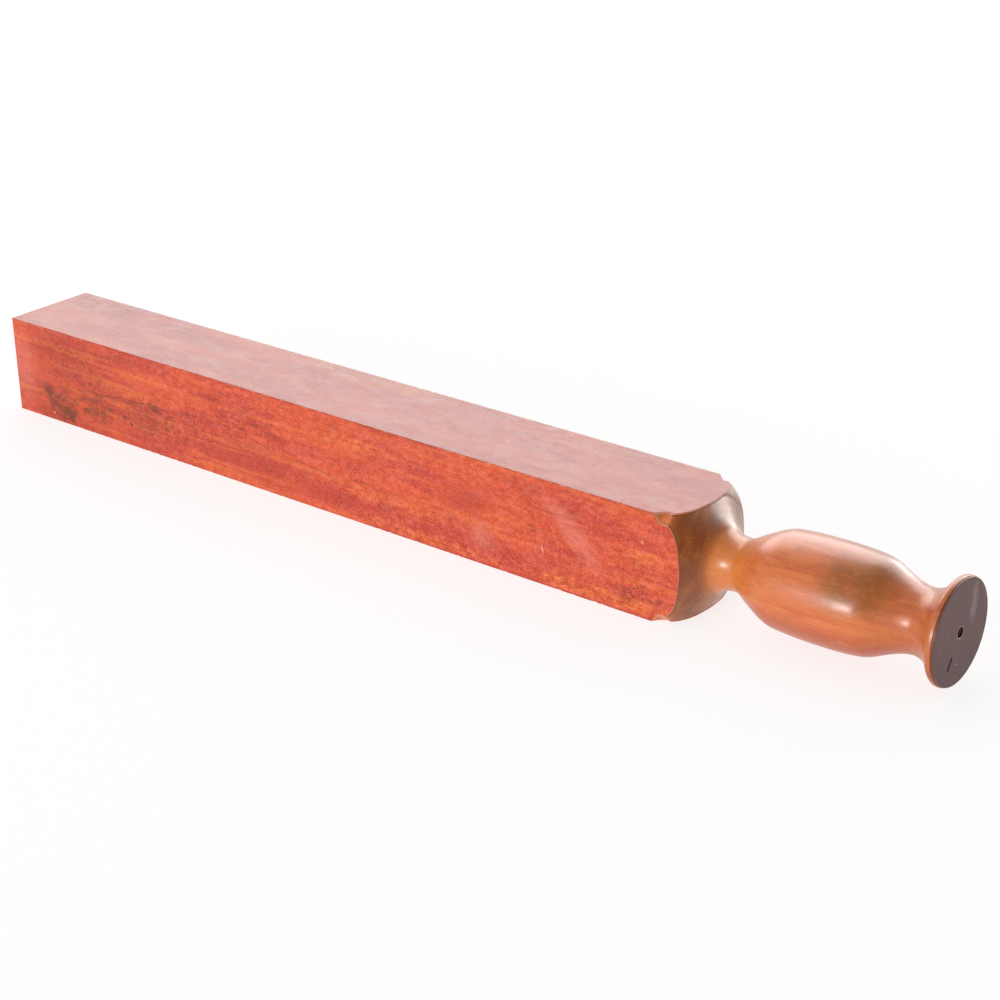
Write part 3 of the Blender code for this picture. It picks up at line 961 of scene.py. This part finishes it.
def build_world():
    """A pale studio: dim overhead and towards the pommel, and plain white where the camera looks past."""
    world = bpy.data.worlds.new("studio")
    bpy.context.scene.world = world
    world.use_nodes = True
    tree = world.node_tree
    background = tree.nodes["Background"]
    direction = tree.nodes.new("ShaderNodeTexCoord").outputs["Generated"]
    split = tree.nodes.new("ShaderNodeSeparateXYZ")
    tree.links.new(direction, split.inputs[0])

    def ramp(value, low, high, start, end):
        """A value's change from low to high as a change from start to end."""
        node = tree.nodes.new("ShaderNodeMapRange")
        tree.links.new(value, node.inputs["Value"])
        for name, limit in (("From Min", low), ("From Max", high), ("To Min", start), ("To Max", end)):
            node.inputs[name].default_value = limit
        return node.outputs["Result"]

    overhead = ramp(split.outputs["Z"], 0.2, 0.9, WORLD_SIDES, WORLD_OVERHEAD)
    towards_pommel = ramp(split.outputs["X"], 0.0, 0.9, 1.0, WORLD_POMMEL_SHARE)
    product = tree.nodes.new("ShaderNodeMath")
    product.operation = "MULTIPLY"
    tree.links.new(overhead, product.inputs[0])
    tree.links.new(towards_pommel, product.inputs[1])
    rays = tree.nodes.new("ShaderNodeLightPath")
    choice = tree.nodes.new("ShaderNodeMix")
    tree.links.new(rays.outputs["Is Camera Ray"], choice.inputs["Factor"])
    tree.links.new(product.outputs[0], choice.inputs["A"])
    choice.inputs["B"].default_value = 1.0
    tree.links.new(choice.outputs["Result"], background.inputs["Strength"])
    background.inputs["Color"].default_value = WHITE


def area_light(name, azimuth, elevation, distance, width, height, radiance, tint, lights_matt):
    """A soft rectangular light that faces the strop from a direction round it."""
    light = bpy.data.lights.new(name, "AREA")
    light.shape = "RECTANGLE"
    light.size = width
    light.size_y = height
    light.energy = radiance * 4.0 * width * height
    light.color = tint
    item = link(name, light)
    away = direction_from(math.radians(azimuth), math.radians(elevation))
    item.location = LIGHT_TARGET + away * distance
    item.rotation_euler = away.to_track_quat("Z", "Y").to_euler()
    item.visible_camera = False
    item.visible_diffuse = lights_matt


def direction_from(azimuth, elevation):
    """The way out to an azimuth, which runs from the front face towards the pommel, and an elevation."""
    flat = math.cos(elevation)
    return Vector((math.sin(azimuth) * flat, -math.cos(azimuth) * flat, math.sin(elevation)))


def build_floor():
    """A very large, pale, plain floor."""
    half = FLOOR_SIDE / 2
    corners = [(-half, -half, 0.0), (half, -half, 0.0), (half, half, 0.0), (-half, half, 0.0)]
    floor = mesh_from("floor", corners, [(0, 1, 2, 3)])
    material = bpy.data.materials.new("floor")
    material.use_nodes = True
    shader = material.node_tree.nodes["Principled BSDF"]
    shader.inputs["Base Color"].default_value = FLOOR_COLOUR
    shader.inputs["Roughness"].default_value = FLOOR_ROUGHNESS
    shader.inputs["Specular IOR Level"].default_value = FLOOR_SPECULAR
    shader.inputs["Emission Color"].default_value = WHITE
    shader.inputs["Emission Strength"].default_value = FLOOR_GLOW
    floor.data.materials.append(material)


def build_camera():
    """A long lens at the height and angle from which the strop is seen in its reference view."""
    camera = bpy.data.cameras.new("camera")
    camera.lens = CAMERA_LENS
    camera.sensor_width = CAMERA_SENSOR
    camera.dof.use_dof = False
    item = link("camera", camera)
    away = direction_from(CAMERA_AZIMUTH, CAMERA_ELEVATION)
    item.location = Vector(CAMERA_TARGET) + away * CAMERA_DISTANCE
    level = away.to_track_quat("Z", "Y").to_matrix()
    item.rotation_euler = (level @ Matrix.Rotation(CAMERA_ROLL, 3, "Z")).to_euler()
    bpy.context.scene.camera = item


def build_trim():
    """The lathe's envelope up to the foot of the shoulder, which trims the facings' ends."""
    outline = [(-OVERRUN, 0.0), (-OVERRUN, BAR_CLEARANCE_RADIUS)]
    outline += turned_outline(TURNED_STATIONS.index(SHOULDER_FOOT))
    outline += [(SHOULDER_FOOT[1] * MM, SHOULDER_FOOT[2] * MM), (SHOULDER_FOOT[1] * MM, 0.0)]
    return turned("leather_trim", outline)


def main():
    """Builds and dresses the six pieces, then the studio round them."""
    finish_piece(build_wood(), "wood_body", wood_material())
    trim = build_trim()
    facings = (
        ("top", 0, "y", "z", TOP_MARKS_AND_PAINTED_SHEEN),
        ("front", 1, "z", "y", FRONT_MARKS),
        ("bottom", 2, "y", "z", BOTTOM_MARKS),
        ("back", 3, "z", "y", BACK_MARKS),
    )
    for side, turn, across, normal, marks in facings:
        facing = build_facing("strop_leather_" + side, turn, trim)
        material = leather_material("leather_" + side, across, normal, 5.0 + 70.0 * turn, marks)
        finish_piece(facing, "leather_" + side, material)
    discard(trim)
    finish_piece(build_disc(), "pommel_disc", disc_material())
    build_floor()
    build_world()
    for name, settings in LIGHTS.items():
        area_light(name, *settings)
    build_camera()
    bpy.context.scene.view_settings.view_transform = "Standard"
    bpy.context.scene.view_settings.look = "None"


main()
